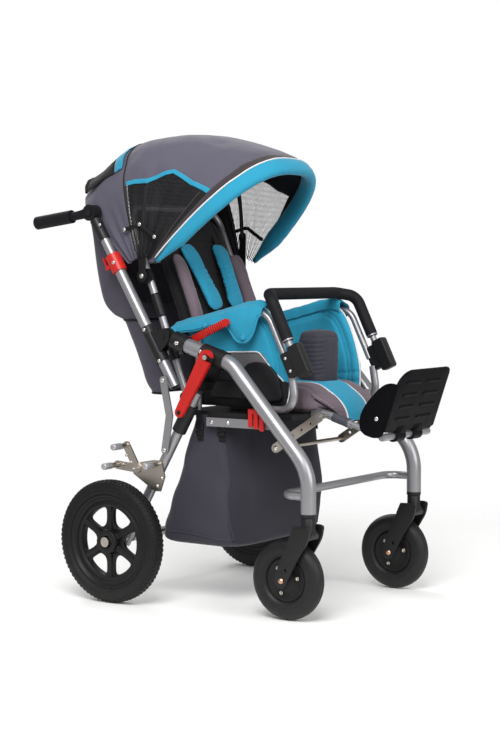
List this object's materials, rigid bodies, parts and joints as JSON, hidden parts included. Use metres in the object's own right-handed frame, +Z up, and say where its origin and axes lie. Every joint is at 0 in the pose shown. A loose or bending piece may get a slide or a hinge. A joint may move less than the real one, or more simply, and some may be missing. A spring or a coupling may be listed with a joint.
{
  "type": "special needs buggy",
  "caption": "Folding special needs buggy with padded seat, swing hood, bumper bar, raised legrest, storage bag, sliding push handles, swivel casters and pedal brakes",
  "frame": {"origin": "on the floor, under the middle of the overall box", "axes": "+X the way the rider faces, +Y to the rider's left, +Z up"},
  "size_m": [0.9882, 0.677, 1.1408],
  "materials": {
    "tube_silver": "satin silver aluminium tube",
    "black_plastic": "moulded satin black",
    "red_plastic": "glossy red",
    "zinc_steel": "zinc plated",
    "rivet_steel": "bright rivets and pins",
    "grey_cloth": "woven grey polyester",
    "blue_cloth": "turquoise blue padded cloth",
    "mauve_cloth": "mauve grey padded cloth",
    "foam": "closed cell foam",
    "tyre": "matt tread",
    "rim": "moulded rim"
  },
  "bodies": {
    "front_frame": {"side_tubes": "tube_silver", "shoulder_lugs": "black_plastic", "elbow_castings": "black_plastic", "front_cross_bar": "tube_silver", "caster_bushes": "zinc_steel", "seat_frame": "tube_silver", "seat_pan": "black_plastic", "bumper_sockets": "black_plastic", "seat_cushion": "mauve_cloth", "side_panels": "blue_cloth", "storage_bag": "grey_cloth", "frame_rivets": "rivet_steel"},
    "rear_frame": {"rear_legs": "tube_silver", "rear_leg_brackets": "black_plastic", "rear_axle": "zinc_steel", "brake_brackets": "zinc_steel"},
    "push_frame": {"push_tubes": "tube_silver", "push_sleeves": "black_plastic", "clamp_collars": "red_plastic"},
    "fold_links": {"fold_links": "tube_silver"},
    "backrest": {"backrest_frame": "tube_silver", "backrest_pad": "mauve_cloth", "shoulder_pads": "blue_cloth", "rear_drape": "grey_cloth", "hood_pivots": "black_plastic"},
    "hood_front": {"hood_front_bow": "blue_cloth", "hood_shell": "grey_cloth"},
    "hood_mid": {"hood_mid_bow": "black_plastic", "hood_stays": "black_plastic"},
    "legrest": {"legrest_tubes": "tube_silver"},
    "legrest_strut": {"legrest_struts": "zinc_steel"},
    "foot_slider": {"foot_tubes": "tube_silver"},
    "footplate": {"footplate": "black_plastic"},
    "bumper": {"bumper_bar": "foam"},
    "pommel": {"pommel": "mauve_cloth"},
    "recline_lever": {"recline_lever": "red_plastic"},
    "tilt_grip": {"tilt_grip": "red_plastic"},
    "lock_lever_left": {"lock_lever_left": "red_plastic"},
    "handle_left": {"handle_tube_left": "tube_silver", "handle_elbow_left": "black_plastic"},
    "grip_left": {"grip_left": "foam"},
    "handle_button_left": {"handle_button_left": "black_plastic"},
    "clamp_lever_left": {"clamp_lever_left": "red_plastic"},
    "rear_wheel_left": {"rear_tyre_left": "tyre", "rear_rim_left": "rim"},
    "caster_left": {"caster_fork_left": "black_plastic"},
    "front_wheel_left": {"front_wheel_left": "tyre"},
    "brake_left": {"brake_lever_left": "zinc_steel"},
    "lock_lever_right": {"lock_lever_right": "red_plastic"},
    "handle_right": {"handle_tube_right": "tube_silver", "handle_elbow_right": "black_plastic"},
    "grip_right": {"grip_right": "foam"},
    "handle_button_right": {"handle_button_right": "black_plastic"},
    "clamp_lever_right": {"clamp_lever_right": "red_plastic"},
    "rear_wheel_right": {"rear_tyre_right": "tyre", "rear_rim_right": "rim"},
    "caster_right": {"caster_fork_right": "black_plastic"},
    "front_wheel_right": {"front_wheel_right": "tyre"},
    "brake_right": {"brake_lever_right": "zinc_steel"}
  },
  "joints": [
    {"name": "fold_push", "type": "hinge", "parent": "front_frame", "child": "push_frame", "pos_m": [-0.08566, 0, 0.648], "axis": [0, 1, 0], "range_deg": [0, 128]},
    {"name": "fold_rear", "type": "hinge", "parent": "front_frame", "child": "rear_frame", "pos_m": [0.05832, 0, 0.60324], "axis": [0, 1, 0], "range_deg": [0, 46.08]},
    {"name": "fold_link", "type": "hinge", "parent": "rear_frame", "child": "fold_links", "pos_m": [-0.07346, 0, 0.37526], "axis": [0, 1, 0], "range_deg": [-35.4, 0]},
    {"name": "backrest_recline", "type": "hinge", "parent": "front_frame", "child": "backrest", "pos_m": [-0.06366, 0, 0.5], "axis": [0, -1, 0], "range_deg": [0, 35]},
    {"name": "hood_fold", "type": "hinge", "parent": "backrest", "child": "hood_front", "pos_m": [-0.18204, 0, 0.79299], "axis": [0, -1, 0], "range_deg": [0, 50], "deforming": ["hood_shell"]},
    {"name": "hood_mid_fold", "type": "hinge", "parent": "backrest", "child": "hood_mid", "pos_m": [-0.18204, 0, 0.79299], "axis": [0, -1, 0], "range_deg": [0, 25]},
    {"name": "legrest_drop", "type": "hinge", "parent": "front_frame", "child": "legrest", "pos_m": [0.26234, 0, 0.473], "axis": [0, 1, 0], "range_deg": [0, 50]},
    {"name": "legrest_strut_swing", "type": "hinge", "parent": "legrest", "child": "legrest_strut", "pos_m": [0.28994, 0, 0.46477], "axis": [0, 1, 0], "range_deg": [-50, 0]},
    {"name": "foot_extend", "type": "slide", "parent": "legrest", "child": "foot_slider", "axis": [0.9583, 0, -0.2857], "range_m": [0, 0.04]},
    {"name": "footplate_fold", "type": "hinge", "parent": "foot_slider", "child": "footplate", "pos_m": [0.43484, 0, 0.42158], "axis": [0, -1, 0], "range_deg": [0, 60]},
    {"name": "bumper_lift", "type": "slide", "parent": "front_frame", "child": "bumper", "axis": [-0.4372, 0, 0.8994], "range_m": [0, 0.06]},
    {"name": "pommel_lift", "type": "slide", "parent": "front_frame", "child": "pommel", "axis": [0, 0, 1], "range_m": [0, 0.06]},
    {"name": "recline_lever_pull", "type": "hinge", "parent": "front_frame", "child": "recline_lever", "pos_m": [-0.04173, -0.216, 0.63434], "axis": [0, 1, 0], "range_deg": [-14, 14]},
    {"name": "tilt_grip_pull", "type": "hinge", "parent": "front_frame", "child": "tilt_grip", "pos_m": [0.15434, -0.22, 0.447], "axis": [0, 1, 0], "range_deg": [0, 20]},
    {"name": "lock_lever_left", "type": "hinge", "parent": "rear_frame", "child": "lock_lever_left", "pos_m": [-0.0187, 0.28, 0.46999], "axis": [0, -1, 0], "range_deg": [0, 30]},
    {"name": "handle_height_left", "type": "slide", "parent": "push_frame", "child": "handle_left", "axis": [-0.521, 0, 0.8536], "range_m": [-0.03, 0.08]},
    {"name": "grip_angle_left", "type": "hinge", "parent": "handle_left", "child": "grip_left", "pos_m": [-0.31347, 0.254, 0.94828], "axis": [0, 1, 0], "range_deg": [-45, 60]},
    {"name": "handle_button_left", "type": "slide", "parent": "grip_left", "child": "handle_button_left", "axis": [0, -1, 0], "range_m": [0, 0.003], "stiffness_N_per_m": 300},
    {"name": "clamp_lever_left", "type": "hinge", "parent": "push_frame", "child": "clamp_lever_left", "pos_m": [-0.25832, 0.247, 0.8109], "axis": [0, -1, 0], "range_deg": [0, 75]},
    {"name": "rear_wheel_left", "type": "hinge", "parent": "rear_frame", "child": "rear_wheel_left", "pos_m": [-0.20366, 0.311, 0.15], "axis": [0, 1, 0], "continuous": true},
    {"name": "caster_left", "type": "hinge", "parent": "front_frame", "child": "caster_left", "pos_m": [0.32234, 0.247, 0.251], "axis": [0, 0, 1], "continuous": true},
    {"name": "front_wheel_left", "type": "hinge", "parent": "caster_left", "child": "front_wheel_left", "pos_m": [0.26834, 0.247, 0.095], "axis": [0, 1, 0], "continuous": true},
    {"name": "brake_left", "type": "hinge", "parent": "rear_frame", "child": "brake_left", "pos_m": [-0.15966, 0.266, 0.326], "axis": [0, -1, 0], "range_deg": [0, 20]},
    {"name": "lock_lever_right", "type": "hinge", "parent": "rear_frame", "child": "lock_lever_right", "pos_m": [-0.0187, -0.28, 0.46999], "axis": [0, -1, 0], "range_deg": [0, 30]},
    {"name": "handle_height_right", "type": "slide", "parent": "push_frame", "child": "handle_right", "axis": [-0.521, 0, 0.8536], "range_m": [-0.03, 0.08]},
    {"name": "grip_angle_right", "type": "hinge", "parent": "handle_right", "child": "grip_right", "pos_m": [-0.31347, -0.254, 0.94828], "axis": [0, 1, 0], "range_deg": [-45, 60]},
    {"name": "handle_button_right", "type": "slide", "parent": "grip_right", "child": "handle_button_right", "axis": [0, 1, 0], "range_m": [0, 0.003], "stiffness_N_per_m": 300},
    {"name": "clamp_lever_right", "type": "hinge", "parent": "push_frame", "child": "clamp_lever_right", "pos_m": [-0.25832, -0.247, 0.8109], "axis": [0, -1, 0], "range_deg": [0, 75]},
    {"name": "rear_wheel_right", "type": "hinge", "parent": "rear_frame", "child": "rear_wheel_right", "pos_m": [-0.20366, -0.311, 0.15], "axis": [0, 1, 0], "continuous": true},
    {"name": "caster_right", "type": "hinge", "parent": "front_frame", "child": "caster_right", "pos_m": [0.32234, -0.247, 0.251], "axis": [0, 0, 1], "continuous": true},
    {"name": "front_wheel_right", "type": "hinge", "parent": "caster_right", "child": "front_wheel_right", "pos_m": [0.26834, -0.247, 0.095], "axis": [0, 1, 0], "continuous": true},
    {"name": "brake_right", "type": "hinge", "parent": "rear_frame", "child": "brake_right", "pos_m": [-0.15966, -0.266, 0.326], "axis": [0, -1, 0], "range_deg": [0, 20]}
  ],
  "couplings": [
    {"joint": "fold_rear", "follows": "fold_push", "ratio": 0.36},
    {"joint": "fold_link", "follows": "fold_push", "ratio": -0.276},
    {"joint": "hood_mid_fold", "follows": "hood_fold", "ratio": 0.5},
    {"joint": "legrest_strut_swing", "follows": "legrest_drop", "ratio": -1}
  ]
}
